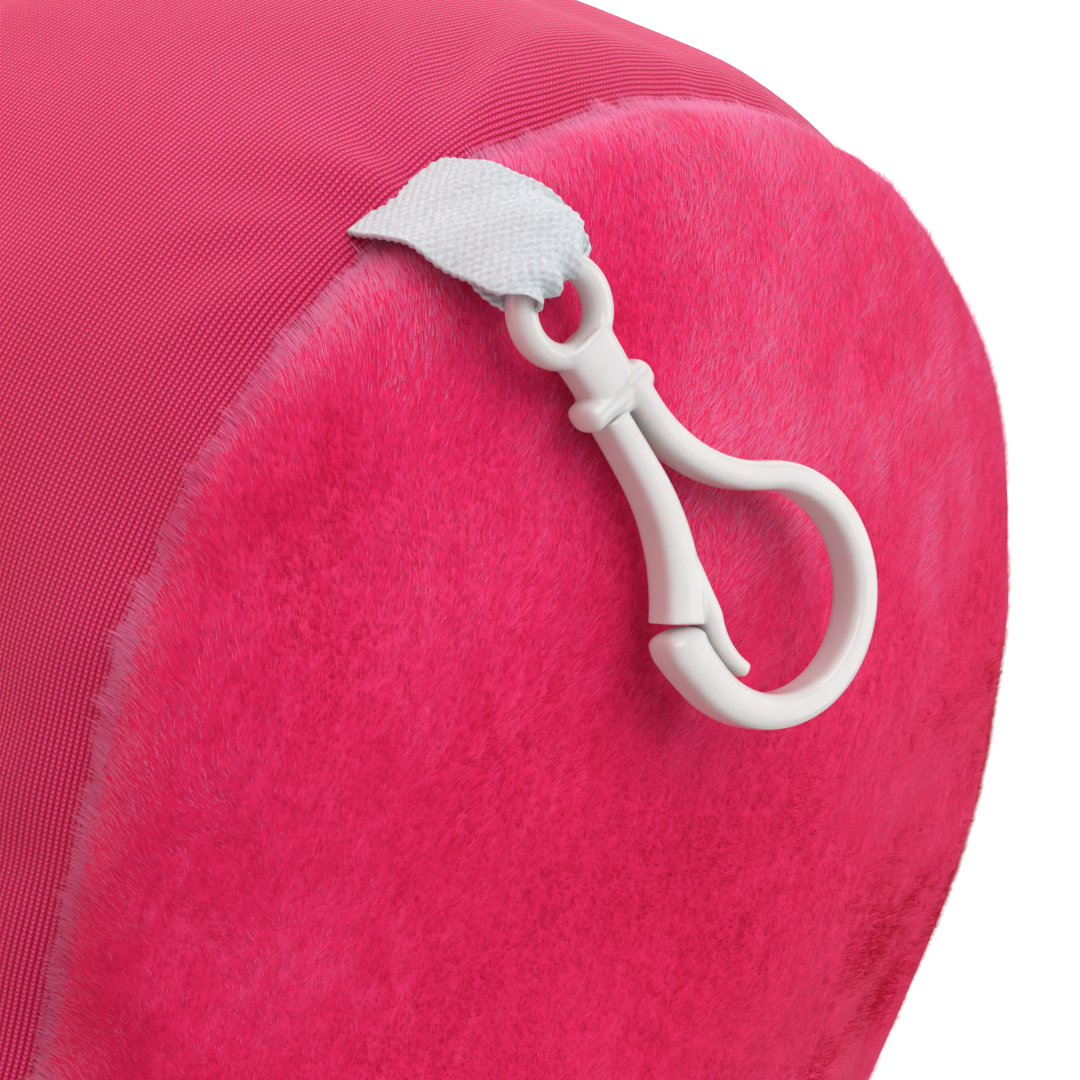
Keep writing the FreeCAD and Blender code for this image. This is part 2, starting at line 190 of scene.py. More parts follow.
def smooth_step(value):
    """0 below 0, 1 above 1 and smooth between."""
    share = np.clip(value, 0, 1)
    return share * share * (3 - 2 * share)


WAVE_OCTAVES = 2
WAVES_EACH = 9
OCTAVE_FADE = 0.55


def waves(points, wavelength, seed):
    """Smooth seeded noise of about -1 to 1, a sum of waves in scattered directions."""
    source = np.random.default_rng(seed)
    total = np.zeros(len(points))
    weight = 0.0
    for octave in range(WAVE_OCTAVES):
        amount = OCTAVE_FADE ** octave
        for _ in range(WAVES_EACH):
            direction = source.normal(size=3)
            direction /= np.linalg.norm(direction)
            pitch = wavelength / (2 ** octave) * source.uniform(0.7, 1.5)
            total += amount * np.sin(points @ direction * (2 * math.pi / pitch) + source.uniform(0, 6.3))
        weight += amount * WAVES_EACH / 4
    return total / weight


# ---------------------------------------------------------------- materials

def material(name, base, roughness=0.8, sheen=0.0, sheen_tint=(1, 1, 1), more=()):
    """A Principled material with plain values. more has other inputs and their values."""
    made = bpy.data.materials.new(name)
    made.use_nodes = True
    shader = made.node_tree.nodes["Principled BSDF"]
    shader.inputs["Base Color"].default_value = (*base, 1)
    shader.inputs["Roughness"].default_value = roughness
    shader.inputs["Sheen Weight"].default_value = sheen
    shader.inputs["Sheen Roughness"].default_value = 0.4
    shader.inputs["Sheen Tint"].default_value = (*sheen_tint, 1)
    for key, value in more:
        shader.inputs[key].default_value = value
    return made


class Nodes:
    """Short calls that add nodes to one material."""

    def __init__(self, made):
        self.tree = made.node_tree
        self.shader = self.tree.nodes["Principled BSDF"]

    def add(self, kind, **settings):
        node = self.tree.nodes.new(kind)
        for key, value in settings.items():
            setattr(node, key, value)
        return node

    def link(self, source, target):
        self.tree.links.new(source, target)

    def maths(self, operation, first, second=None, third=None):
        node = self.add("ShaderNodeMath", operation=operation)
        for slot, value in enumerate((first, second, third)):
            if value is None:
                continue
            if isinstance(value, (int, float)):
                node.inputs[slot].default_value = value
            else:
                self.link(value, node.inputs[slot])
        return node.outputs[0]

    def noise(self, scale, detail=3.0, stretch=(1, 1, 1)):
        coordinates = self.add("ShaderNodeTexCoord").outputs["Object"]
        mapping = self.add("ShaderNodeMapping")
        mapping.inputs["Scale"].default_value = stretch
        self.link(coordinates, mapping.inputs["Vector"])
        node = self.add("ShaderNodeTexNoise")
        node.inputs["Scale"].default_value = scale
        node.inputs["Detail"].default_value = detail
        self.link(mapping.outputs[0], node.inputs["Vector"])
        return node.outputs["Fac"]

    def ramp(self, value, *stops):
        node = self.add("ShaderNodeValToRGB")
        while len(node.color_ramp.elements) < len(stops):
            node.color_ramp.elements.new(0.5)
        for element, (place, colour) in zip(node.color_ramp.elements, stops):
            element.position = place
            element.color = (*colour, 1)
        self.link(value, node.inputs["Fac"])
        return node.outputs["Color"]

    def colour(self, value):
        self.link(value, self.shader.inputs["Base Color"])

    def bump(self, value, distance, strength=1.0):
        node = self.add("ShaderNodeBump")
        node.inputs["Distance"].default_value = distance
        node.inputs["Strength"].default_value = strength
        self.link(value, node.inputs["Height"])
        self.link(node.outputs[0], self.shader.inputs["Normal"])


WALE_PITCH = 0.49 * MM
COURSE_PITCH = 0.37 * MM


def knit_material():
    """Fine jersey knit: wales of V-shaped stitches along the strip, from UVs in metres. The stitch height
    sets the colour as well as the bump, so the grooves carry painted shade and the loops painted
    highlights.
    """
    made = material("knit", (0.7, 0.03, 0.13), roughness=0.6, sheen=0.05, sheen_tint=(1, 0.55, 0.7),
                    more=[("Specular IOR Level", 0.25)])
    nodes = Nodes(made)
    place = nodes.add("ShaderNodeSeparateXYZ")
    nodes.link(nodes.add("ShaderNodeUVMap", uv_map="strip").outputs[0], place.inputs[0])
    wobble = nodes.maths("MULTIPLY", nodes.noise(150, 2), 0.0003)
    across = nodes.maths("DIVIDE", nodes.maths("ADD", place.outputs["Y"], wobble), WALE_PITCH)
    in_wale = nodes.maths("SUBTRACT", nodes.maths("FRACT", across), 0.5)
    edge = nodes.maths("MULTIPLY", nodes.maths("ABSOLUTE", in_wale), 2.0)
    along = nodes.maths("DIVIDE", place.outputs["X"], COURSE_PITCH)
    slant = nodes.maths("ADD", along, nodes.maths("MULTIPLY", edge, 0.55))
    loops = nodes.maths("MULTIPLY_ADD",
                        nodes.maths("SINE", nodes.maths("MULTIPLY", slant, 2 * math.pi)), 0.5, 0.5)
    round_wale = nodes.maths("SUBTRACT", 1.0, nodes.maths("MULTIPLY", edge, edge))
    height = nodes.maths("MULTIPLY", round_wale, nodes.maths("MULTIPLY_ADD", loops, 0.45, 0.55))
    # Painted shade and highlight: darker in the stitch grooves, lighter on the loops, plus a random tone.
    tone = nodes.maths("MULTIPLY_ADD", nodes.noise(35, 3), 0.25, nodes.maths("MULTIPLY", height, 0.85))
    nodes.colour(nodes.ramp(tone, (0.2, (0.44, 0.001, 0.025)), (0.6, (0.77, 0.012, 0.12)),
                            (1.0, (0.95, 0.12, 0.35))))
    nodes.bump(height, 0.22 * MM, 0.9)
    return made


def backing_material():
    """The plush's ground cloth, seen between the fibres."""
    made = material("plush_ground", (0.85, 0.015, 0.12), roughness=0.9, sheen=0.2,
                    sheen_tint=(1, 0.5, 0.65), more=[("Specular IOR Level", 0.2)])
    nodes = Nodes(made)
    streak = nodes.noise(900, 3, (1, 0.25, 0.6))
    patch = nodes.noise(45, 3)
    # The streak that makes the bump also sets half the colour: painted shade in the streak hollows. The
    # patch is random tone.
    tone = nodes.maths("MULTIPLY_ADD", streak, 0.5, nodes.maths("MULTIPLY", patch, 0.5))
    nodes.colour(nodes.ramp(tone, (0.3, (0.82, 0.011, 0.105)), (0.52, (0.90, 0.02, 0.145)),
                            (0.72, (0.94, 0.055, 0.22))))
    nodes.bump(streak, 0.3 * MM, 0.35)
    return made


def pile_materials():
    """Plain shades of one dyed fibre, from a deep crimson to a pale pink. The pale and palest shades also
    serve as painted sheen on fibres along the seams and high on the dome.
    """
    # The palest shade, given mostly to fibres near the seams, is painted sheen.
    shades = {"pile_deep": (0.70, 0.003, 0.055), "pile_mid": (0.78, 0.010, 0.11),
              "pile_bright": (0.83, 0.035, 0.19), "pile_pale": (0.87, 0.12, 0.32),
              "pile_painted_sheen": (0.88, 0.24, 0.45)}
    return [material(name, base, roughness=0.75, sheen=0.28, sheen_tint=(1, 0.5, 0.7),
                     more=[("Specular IOR Level", 0.12)])
            for name, base in shades.items()]


def hook_material():
    """Glossy white moulded plastic that lets a little light through."""
    made = material("hook_plastic", (0.88, 0.87, 0.86), roughness=0.24,
                    more=[("Subsurface Weight", 0.35), ("Subsurface Scale", 0.002)])
    nodes = Nodes(made)
    flow = nodes.noise(160, 2)
    nodes.colour(nodes.ramp(flow, (0.3, (0.67, 0.655, 0.65)), (0.7, (0.72, 0.71, 0.70))))
    rough = nodes.maths("MULTIPLY_ADD", nodes.noise(500, 2), 0.08, 0.1)
    nodes.link(rough, nodes.shader.inputs["Roughness"])
    nodes.bump(nodes.noise(260, 2), 0.12 * MM, 0.35)
    return made


def tape_material():
    """White polyester yarn, darker and slightly blue where its yarn bump is low: painted shade."""
    made = material("tape_yarn", (0.80, 0.83, 0.85), roughness=0.75, sheen=0.1)
    nodes = Nodes(made)
    yarn = nodes.noise(3500, 2)
    # Painted shade: the same noise lowers the bump and darkens the colour towards blue.
    nodes.colour(nodes.ramp(yarn, (0.3, (0.50, 0.545, 0.58)), (0.6, (0.64, 0.67, 0.69))))
    nodes.bump(yarn, 0.08 * MM, 0.6)
    return made


def thread_material():
    """Twisted pink sewing thread."""
    made = material("thread", (0.6, 0.02, 0.1), roughness=0.6)
    nodes = Nodes(made)
    twist = nodes.noise(2200, 1, (1, 1, 0.3))
    # Painted shade and highlight: darker where the twist bump is low, lighter where it is high.
    nodes.colour(nodes.ramp(twist, (0.35, (0.4, 0.005, 0.05)), (0.65, (0.75, 0.06, 0.18))))
    nodes.bump(twist, 0.2 * MM)
    return made


def bead_material():
    """Small white polystyrene beads."""
    made = material("beads", (0.85, 0.85, 0.85), roughness=0.7)
    nodes = Nodes(made)
    cells = nodes.add("ShaderNodeTexVoronoi")
    cells.inputs["Scale"].default_value = 900
    nodes.link(nodes.add("ShaderNodeTexCoord").outputs["Object"], cells.inputs["Vector"])
    distance = cells.outputs["Distance"]
    # Painted shade: each bead darkens from its middle towards its edge, where it meets the next.
    nodes.colour(nodes.ramp(distance, (0.1, (0.9, 0.9, 0.9)), (0.7, (0.55, 0.55, 0.57))))
    nodes.bump(nodes.maths("SUBTRACT", 1.0, distance), 0.4 * MM)
    return made


# ---------------------------------------------------------------- the cover

SIDE_CELLS = 100
TIP_CELLS = 34
DOME_CELLS = 12
GUSSET_CELLS = 12
TOP_PANEL, OUTER_GUSSET, INNER_GUSSET, BOTTOM_PANEL = range(4)


def centre_station(share):
    """Point on the centreline and its outward direction, from the +X tip round to the -X tip."""
    length = share * CENTRE_LENGTH
    if length > CENTRE_LENGTH / 2:
        point, outward = centre_station(1 - share)
        return Vector((-point.x, point.y, 0)), Vector((-outward.x, outward.y, 0))
    if length < ARM_LENGTH:
        turn = length / BEND_RADIUS - TOE_IN
        outward = Vector((math.cos(turn), math.sin(turn), 0))
        return Vector((NECK_RADIUS - BEND_RADIUS, NECK_Y, 0)) + outward * BEND_RADIUS, outward
    turn = (length - ARM_LENGTH) / NECK_RADIUS
    outward = Vector((math.cos(turn), math.sin(turn), 0))
    return Vector((0, NECK_Y, 0)) + outward * NECK_RADIUS, outward


def dome_profile():
    """(distance out, height above the seam) from the ridge to the seam, evenly spaced."""
    flat = HALF_WIDTH - SHOULDER_BEND
    crown = (DOME_RISE ** 2 + flat ** 2 - SHOULDER_BEND ** 2) / (2 * (DOME_RISE - SHOULDER_BEND))
    meeting = math.atan2(flat, crown - DOME_RISE)
    crown_arc = crown * meeting
    shoulder_arc = SHOULDER_BEND * (math.pi / 2 - meeting)
    profile = []
    for row in range(DOME_CELLS + 1):
        run = row / DOME_CELLS * (crown_arc + shoulder_arc)
        if run < crown_arc:
            angle = run / crown
            profile.append((crown * math.sin(angle), DOME_RISE - crown + crown * math.cos(angle)))
        else:
            angle = meeting + (run - crown_arc) / SHOULDER_BEND
            profile.append((flat + SHOULDER_BEND * math.sin(angle), SHOULDER_BEND * math.cos(angle)))
    return profile


def section_rows():
    """(distance out, height) of each row, from the top ridge down to the bottom ridge."""
    dome = dome_profile()
    rows = [(out, TOP_SEAM + rise) for out, rise in dome]
    for row in range(1, GUSSET_CELLS):
        share = row / GUSSET_CELLS * 2 - 1
        rows.append((HALF_WIDTH + GUSSET_BOW * (1 - share * share), MIDDLE - share * HALF_HEIGHT))
    rows += [(out, BOTTOM_SEAM - rise) for out, rise in reversed(dome)]
    return rows


TOP_SEAM_ROW = DOME_CELLS
BOTTOM_SEAM_ROW = DOME_CELLS + GUSSET_CELLS
SEAM_HOLD = 0.75
PANEL_HOLD = 0.03


def outline_stations():
    """(index on the centreline, outward direction) round the whole outline of the U."""
    ends = [centre_station(cell / SIDE_CELLS)[1] for cell in range(SIDE_CELLS + 1)]
    stations = [(cell, ends[cell]) for cell in range(SIDE_CELLS + 1)]
    for end, start in ((SIDE_CELLS, ends[-1]), (0, -ends[0])):
        if end == 0:
            stations += [(cell, -ends[cell]) for cell in range(SIDE_CELLS, -1, -1)]
        for step in range(1, TIP_CELLS):
            turn = Matrix.Rotation(math.pi * step / TIP_CELLS, 3, "Z")
            stations.append((end, turn @ start))
    return stations


def make_cover_cage():
    """One closed grid over the whole pillow, with a strip UV in metres and panel numbers."""
    centres = [centre_station(cell / SIDE_CELLS)[0] for cell in range(SIDE_CELLS + 1)]
    stations = outline_stations()
    rows = section_rows()
    last = len(rows) - 1
    ridge = len(centres)
    vertices = [(c.x, c.y, rows[0][1]) for c in centres] + [(c.x, c.y, rows[last][1]) for c in centres]
    for base, outward in stations:
        for out, height in rows[1:last]:
            point = centres[base] + outward * out
            vertices.append((point.x, point.y, height))

    def index(station, row):
        base = stations[station % len(stations)][0]
        if row == 0:
            return base
        if row == last:
            return ridge + base
        return 2 * ridge + (station % len(stations)) * (last - 1) + row - 1

    run = [0.0]
    for station in range(len(stations)):
        here = Vector(vertices[index(station, TOP_SEAM_ROW)])
        run.append(run[-1] + (Vector(vertices[index(station + 1, TOP_SEAM_ROW)]) - here).length)
    fall = [0.0]
    for (out, height), (next_out, next_height) in zip(rows, rows[1:]):
        fall.append(fall[-1] + math.hypot(next_out - out, next_height - height))
    inner_start = SIDE_CELLS + TIP_CELLS
    arm_cells = round(SIDE_CELLS * ARM_LENGTH / CENTRE_LENGTH)
    faces, strip, panels = [], [], []
    for station in range(len(stations)):
        inner = inner_start + arm_cells <= station < inner_start + SIDE_CELLS - arm_cells
        for row in range(last):
            corners = [(station, row), (station, row + 1), (station + 1, row + 1), (station + 1, row)]
            used, seen = [], set()
            for corner in corners:
                if index(*corner) not in seen:
                    seen.add(index(*corner))
                    used.append(corner)
            faces.append([index(*corner) for corner in used])
            strip += [(run[at], fall[down]) for at, down in used]
            if row < TOP_SEAM_ROW:
                panels.append(TOP_PANEL)
            elif row >= BOTTOM_SEAM_ROW:
                panels.append(BOTTOM_PANEL)
            else:
                panels.append(INNER_GUSSET if inner else OUTER_GUSSET)
    cover = new_object("cover_cage", vertices, faces)
    cover.data.uv_layers.new(name="strip").data.foreach_set("uv", np.array(strip).ravel())
    for name in ("top", "outer", "inner", "bottom"):
        cover.data.materials.append(bpy.data.materials.new("cage_" + name))
    cover.data.polygons.foreach_set("material_index", panels)
    seam_rows = cover.vertex_groups.new(name="seams")
    soft_rows = cover.vertex_groups.new(name="hold")
    gaps = np.zeros(len(vertices))
    for row in range(last + 1):
        distance = min(abs(fall[row] - fall[TOP_SEAM_ROW]), abs(fall[row] - fall[BOTTOM_SEAM_ROW]))
        members = sorted({index(station, row) for station in range(len(stations))})
        gaps[members] = distance
        if row in (TOP_SEAM_ROW, BOTTOM_SEAM_ROW):
            seam_rows.add(members, 1.0, "REPLACE")
            soft_rows.add(members, SEAM_HOLD, "REPLACE")
        else:
            soft_rows.add(members, PANEL_HOLD, "REPLACE")
    gap = cover.data.attributes.new("seam_gap", "FLOAT", "POINT")
    gap.data.foreach_set("value", gaps)
    return cover


SWELL_CAP = 3.5 * MM
SINK_CAP = 0.5 * MM
PUFF_FRAMES = 20


def puff(cover):
    """Blow the cover up with the cloth solver, its seams drawn in and its panels a little slack."""
    start = points_of(cover.data)
    facing = normals_of(cover.data)
    cloth = cover.modifiers.new("puff", "CLOTH")
    settings = cloth.settings
    settings.quality = 6
    settings.mass = 0.15
    settings.tension_stiffness = 25
    settings.compression_stiffness = 25
    settings.shear_stiffness = 12
    settings.bending_stiffness = 0.3
    settings.use_pressure = True
    settings.uniform_pressure_force = 4
    settings.vertex_group_mass = "hold"
    settings.pin_stiffness = 1.0
    settings.vertex_group_shrink = "seams"
    settings.shrink_min = -0.035
    settings.shrink_max = 0.03
    settings.effector_weights.gravity = 0
    cloth.collision_settings.use_collision = False
    cloth.point_cache.frame_start = 1
    cloth.point_cache.frame_end = PUFF_FRAMES
    scene = bpy.context.scene
    for step in range(1, PUFF_FRAMES + 1):
        scene.frame_set(step)
    apply_modifiers(cover)
    scene.frame_set(1)
    move = points_of(cover.data) - start
    outward = (move * facing).sum(axis=1)
    sideways = move - facing * outward[:, None]
    slip = np.linalg.norm(sideways, axis=1)
    sideways *= (SWELL_CAP * np.tanh(slip / SWELL_CAP) / np.maximum(slip, 1e-9))[:, None]
    swell = np.where(outward > 0, SWELL_CAP * np.tanh(outward / SWELL_CAP),
                     SINK_CAP * np.tanh(outward / SINK_CAP))
    cover.data.vertices.foreach_set("co", (start + sideways + facing * swell[:, None]).ravel())


FLOOR_GAP = 0.3 * MM
FLAT_BLEND = 1.2 * MM
SEAM_REACH = 7 * MM
GROOVE_DEPTH = 0.6 * MM
GROOVE_WIDTH = 1.8 * MM


def shape_cover(cover):
    """Seam grooves, puckers, creases by the tape and the flat where the pillow rests."""
    mesh = cover.data
    points = points_of(mesh)
    normals = normals_of(mesh)
    gaps = np.empty(len(mesh.vertices))
    mesh.attributes["seam_gap"].data.foreach_get("value", gaps)
    near_seam = np.exp(-gaps / SEAM_REACH)
    lift = -GROOVE_DEPTH * np.exp(-(gaps / GROOVE_WIDTH) ** 2)
    lift += 0.4 * MM * waves(points, 16 * MM, 3) * near_seam
    lift += 0.5 * MM * waves(points, 60 * MM, 5) * (1 - near_seam)
    lift += creases(points)
    points += normals * lift[:, None]
    level = FLOOR_GAP + FLAT_BLEND
    low = points[:, 2] < level
    points[low, 2] = FLOOR_GAP + FLAT_BLEND * np.exp((points[low, 2] - level) / FLAT_BLEND)
    mesh.vertices.foreach_set("co", points.ravel())


SLUMP = 6.8 * MM
SLUMP_RUN_IN = 45 * MM
SLUMP_END = 60 * MM
SLUMP_RUN_OUT = 70 * MM


def slump_arms(cover):
    """Let the outer sides of both arms sink in a little behind their full round tips."""
    points = points_of(cover.data)
    bend = np.array([NECK_RADIUS - BEND_RADIUS, NECK_Y])
    offset = np.stack([np.abs(points[:, 0]), points[:, 1]], axis=1) - bend
    reach = np.linalg.norm(offset, axis=1)
    beyond = smooth_step((reach - BEND_RADIUS) / HALF_WIDTH)
    behind_tip = smooth_step((points[:, 1] - tip_centre.y) / SLUMP_RUN_IN)
    before_back = smooth_step((SLUMP_END - points[:, 1]) / SLUMP_RUN_OUT)
    shift = -offset / reach[:, None] * (SLUMP * beyond * behind_tip * before_back)[:, None]
    points[:, 0] += shift[:, 0] * np.sign(points[:, 0])
    points[:, 1] += shift[:, 1]
    cover.data.vertices.foreach_set("co", points.ravel())


BEAD_INSET = 3.2 * MM
BEAD_SIZE = 2.5 * MM
BEAD_LUMP = 0.25 * MM


def make_bead_fill(cover):
    """The filling as one lumpy cushion of beads just inside the cover."""
    points = points_of(cover.data)
    inset = BEAD_INSET - BEAD_LUMP * waves(points, BEAD_SIZE, 41)
    points -= normals_of(cover.data) * inset[:, None]
    faces = [tuple(face.vertices) for face in cover.data.polygons]
    fill = new_object("bead_cushion", points, faces, "pillow")
    fill.data.materials.append(beads)
    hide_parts("microbead_fill")


THREAD_INSET = 2.6 * MM
THREAD_RADIUS = 0.4 * MM
THREAD_SIDES = 8


def make_seam_threads(cover):
    """A run of twisted thread just inside each seam of the cover."""
    stations = len(outline_stations())
    rows = len(section_rows()) - 2
    ridges = 2 * (SIDE_CELLS + 1)
    points, normals = points_of(cover.data), normals_of(cover.data)
    for name, row in (("top_thread_run", TOP_SEAM_ROW), ("bottom_thread_run", BOTTOM_SEAM_ROW)):
        ring = ridges + np.arange(stations) * rows + row - 1
        path = points[ring] - normals[ring] * THREAD_INSET
        path[:, 2] += -THREAD_RADIUS if row == TOP_SEAM_ROW else THREAD_RADIUS
        ahead = np.roll(path, -1, axis=0) - np.roll(path, 1, axis=0)
        ahead /= np.linalg.norm(ahead, axis=1)[:, None]
        side = np.cross(ahead, np.array(UP))
        lift = np.cross(side, ahead)
        turns = np.linspace(0, 2 * math.pi, THREAD_SIDES, endpoint=False)
        around = (side[:, None, :] * np.cos(turns)[None, :, None]
                  + lift[:, None, :] * np.sin(turns)[None, :, None])
        tube = path[:, None, :] + THREAD_RADIUS * around
        faces = tube_faces(stations, THREAD_SIDES, closed=True)
        run = new_object(name, tube.reshape(-1, 3), faces, "pillow")
        run.data.materials.append(thread)
        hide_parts(name.replace("thread_run", "seam_thread"))


CREASE_STRENGTH = 1.4
CREASES = [
    # In millimetres and degrees: start along the seam, start below it, heading below the seam,
    # length, half width, height
    (-5.5, 1.0, 24, 26, 1.7, 0.8),
    (-4.0, 2.5, 44, 22, 1.8, 0.55),
    (6.0, 1.5, 60, 15, 1.6, 0.45),
    (0.5, 1.5, 85, 12, 1.5, 0.4),
    (7.5, 1.0, 30, 18, 1.5, 0.4),
]


def creases(points):
    """Folds in the knit that run away from the sewn root of the tape."""
    local = points - np.array(tape_root)
    across = local @ np.array(tape_across)
    below = -local[:, 2]
    facing = local @ np.array(tape_outward) > -12 * MM
    lift = np.zeros(len(points))
    for start, drop, heading, length, width, height in CREASES:
        angle = math.radians(heading)
        side = -1 if start < 0 else 1
        ahead = (across - start * MM) * math.cos(angle) * side + (below - drop * MM) * math.sin(angle)
        aside = -(across - start * MM) * math.sin(angle) * side + (below - drop * MM) * math.cos(angle)
        share = ahead / (length * MM)
        fade = smooth_step(share * 8 + 0.5) * smooth_step(1.2 - share)
        spread = width * MM * (1 + 0.7 * np.clip(share, 0, 1))
        fold = np.exp(-(aside / spread) ** 2) - 0.75 * np.exp(-((aside - 2 * spread) / spread) ** 2)
        lift += CREASE_STRENGTH * height * MM * fold * fade
    return lift * facing * (below > -1 * MM)


def split_cover(cover):
    """The cover's panels as separate pieces, cut along its seams."""
    mesh = cover.data
    points = points_of(mesh)
    corner_count = len(mesh.loops)
    corners = np.empty(corner_count, int)
    mesh.loops.foreach_get("vertex_index", corners)
    strip = np.empty(corner_count * 2)
    mesh.uv_layers["strip"].data.foreach_get("uv", strip)
    strip = strip.reshape(-1, 2)
    panel = np.empty(len(mesh.polygons), int)
    mesh.polygons.foreach_get("material_index", panel)
    starts = np.empty(len(mesh.polygons), int)
    mesh.polygons.foreach_get("loop_start", starts)
    pieces = {}
    for number, name, node in ((TOP_PANEL, "top_plush", "top_face_panel"),
                               (OUTER_GUSSET, "outer_knit", "outer_gusset"),
                               (INNER_GUSSET, "inner_knit", "inner_gusset"),
                               (BOTTOM_PANEL, "bottom_plush", "bottom_face_panel")):
        chosen = starts[panel == number]
        loops = chosen[:, None] + np.arange(4)
        quads = corners[loops]
        used, local = np.unique(quads, return_inverse=True)
        piece = new_object(name, points[used], local.reshape(quads.shape), "pillow")
        uv = piece.data.uv_layers.new(name="strip")
        uv.data.foreach_set("uv", strip[loops.ravel()].ravel())
        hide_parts(node)
        pieces[name] = piece
    bpy.data.objects.remove(cover)
    return pieces


# ---------------------------------------------------------------- pile

# Densities are in fibres per square metre, and near means around the tip with the hook.
NEAR_DENSITY = 27e6
FAR_TOP_DENSITY = 3.2e6
FAR_BOTTOM_DENSITY = 2.8e6
SEAM_DENSITY = 60e6
NEAR_REACH = 108 * MM
SEAM_BAND = 1.4 * MM
NEAR_FIBRE = (1.0 * MM, 0.07 * MM)
SEAM_FIBRE = (1.25 * MM, 0.08 * MM)
FAR_FIBRE = (1.8 * MM, 0.24 * MM)
LOWEST_ROOT = 4 * MM


def triangles_of(piece):
    """Corner points and corner normals of every triangle of a piece."""
    mesh = piece.data
    mesh.calc_loop_triangles()
    index = np.empty(len(mesh.loop_triangles) * 3, int)
    mesh.loop_triangles.foreach_get("vertices", index)
    index = index.reshape(-1, 3)
    return points_of(mesh)[index], normals_of(mesh)[index]


def scatter(piece, density, keep):
    """Seeded points on a piece, with their normals, where keep(points) is true."""
    corners, normals = triangles_of(piece)
    chosen = keep(corners.mean(axis=1))
    corners, normals = corners[chosen], normals[chosen]
    sides = corners[:, 1:] - corners[:, :1]
    areas = np.linalg.norm(np.cross(sides[:, 0], sides[:, 1]), axis=1) / 2
    count = int(areas.sum() * density)
    picked = random.choice(len(areas), count, p=areas / areas.sum())
    first = np.sqrt(random.random(count))
    second = random.random(count)
    weights = np.stack([1 - first, first * (1 - second), first * second], axis=1)[:, :, None]
    roots = (corners[picked] * weights).sum(axis=1)
    facing = (normals[picked] * weights).sum(axis=1)
    return roots, facing / np.linalg.norm(facing, axis=1)[:, None]


FIBRE_SINK = 0.1 * MM
LOWEST_RISE = 0.18
HIGHEST_RISE = 0.55


def lay_pile(name, roots, facing, nap, length, width, shades, glow=0.0):
    """Fibres as thin triangles that lean along the nap. Their normals follow the cloth.

    glow turns the normals upwards, so that fibres at a seam catch the light from above.
    """
    count = len(roots)
    lengths = length * random.uniform(0.7, 1.25, (count, 1))
    widths = width * random.uniform(0.7, 1.3, count)[:, None]
    lean = nap - facing * (nap * facing).sum(axis=1)[:, None]
    lean /= np.maximum(np.linalg.norm(lean, axis=1), 1e-6)[:, None]
    rise = random.uniform(LOWEST_RISE, HIGHEST_RISE, count)[:, None]
    growth = lean * (1 - rise) + facing * rise
    growth /= np.linalg.norm(growth, axis=1)[:, None]
    side = np.cross(growth, facing)
    side /= np.maximum(np.linalg.norm(side, axis=1), 1e-6)[:, None]
    corners = np.empty((count, 3, 3))
    corners[:, 0] = roots - side * widths / 2 - facing * FIBRE_SINK
    corners[:, 1] = roots + side * widths / 2 - facing * FIBRE_SINK
    corners[:, 2] = roots + growth * lengths
    scatter_aside = side * random.normal(0, 0.12, (count, 1))
    shade_normal = facing + growth * 0.1 + scatter_aside + np.array(UP) * glow
    shade_normal /= np.linalg.norm(shade_normal, axis=1)[:, None]
    mesh = bpy.data.meshes.new(name)
    mesh.vertices.add(count * 3)
    mesh.vertices.foreach_set("co", corners.ravel())
    mesh.loops.add(count * 3)
    mesh.loops.foreach_set("vertex_index", np.arange(count * 3))
    mesh.polygons.add(count)
    mesh.polygons.foreach_set("loop_start", np.arange(count) * 3)
    mesh.polygons.foreach_set("use_smooth", np.ones(count, bool))
    for shade in pile_shades:
        mesh.materials.append(shade)
    mesh.polygons.foreach_set("material_index", shades)
    mesh.update(calc_edges=True)
    mesh.normals_split_custom_set_from_vertices(np.repeat(shade_normal, 3, axis=0).tolist())
    piece = bpy.data.objects.new(name, mesh)
    bpy.context.scene.collection.objects.link(piece)
    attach(piece, "pillow")
    return piece


NAP = np.array([0.3, -0.9, -0.4])


def seam_frame(points):
    """Distance from the nearer seam, about along the cloth, and the plan direction out over it."""
    side = np.where(points[:, 0] < 0, -1.0, 1.0)
    flat = np.stack([np.abs(points[:, 0]), points[:, 1]], axis=1)
    bend = np.array([NECK_RADIUS - BEND_RADIUS, NECK_Y])
    tip = np.array([abs(tip_centre.x), tip_centre.y])
    from_bend = flat - bend
    past_tip = np.arctan2(-from_bend[:, 1], from_bend[:, 0]) > TOE_IN
    behind = flat[:, 1] > NECK_Y
    centre = np.where(behind[:, None], np.array([0, NECK_Y]), np.where(past_tip[:, None], tip, bend))
    radius = np.where(behind, NECK_RADIUS, np.where(past_tip, 0.0, BEND_RADIUS))
    offset = flat - centre
    reach = np.linalg.norm(offset, axis=1)
    outward = offset / reach[:, None] * np.where(reach < radius, -1.0, 1.0)[:, None]
    inset = HALF_WIDTH - np.abs(reach - radius)
    rise = np.minimum(np.abs(points[:, 2] - TOP_SEAM), np.abs(points[:, 2] - BOTTOM_SEAM))
    gap = np.hypot(np.maximum(inset, 0), rise)
    return gap, np.stack([outward[:, 0] * side, outward[:, 1], np.zeros(len(points))], axis=1)


def nap_directions(roots):
    """Which way the pile lies: along the arm, brushed about in patches, and out over a seam."""
    swing = 0.4 * waves(roots, 24 * MM, 11) + 0.17 * waves(roots, 2.5 * MM, 12)
    lean = np.tile(NAP / np.linalg.norm(NAP), (len(roots), 1))
    turned = np.stack([lean[:, 0] * np.cos(swing) - lean[:, 1] * np.sin(swing),
                       lean[:, 0] * np.sin(swing) + lean[:, 1] * np.cos(swing), lean[:, 2]], axis=1)
    gap, outward = seam_frame(roots)
    overhang = outward * 0.5
    overhang[:, 2] = np.where(roots[:, 2] > MIDDLE, -1.0, 1.0)
    weight = np.exp(-gap / (1.8 * MM))[:, None]
    return turned * (1 - weight) + overhang * weight


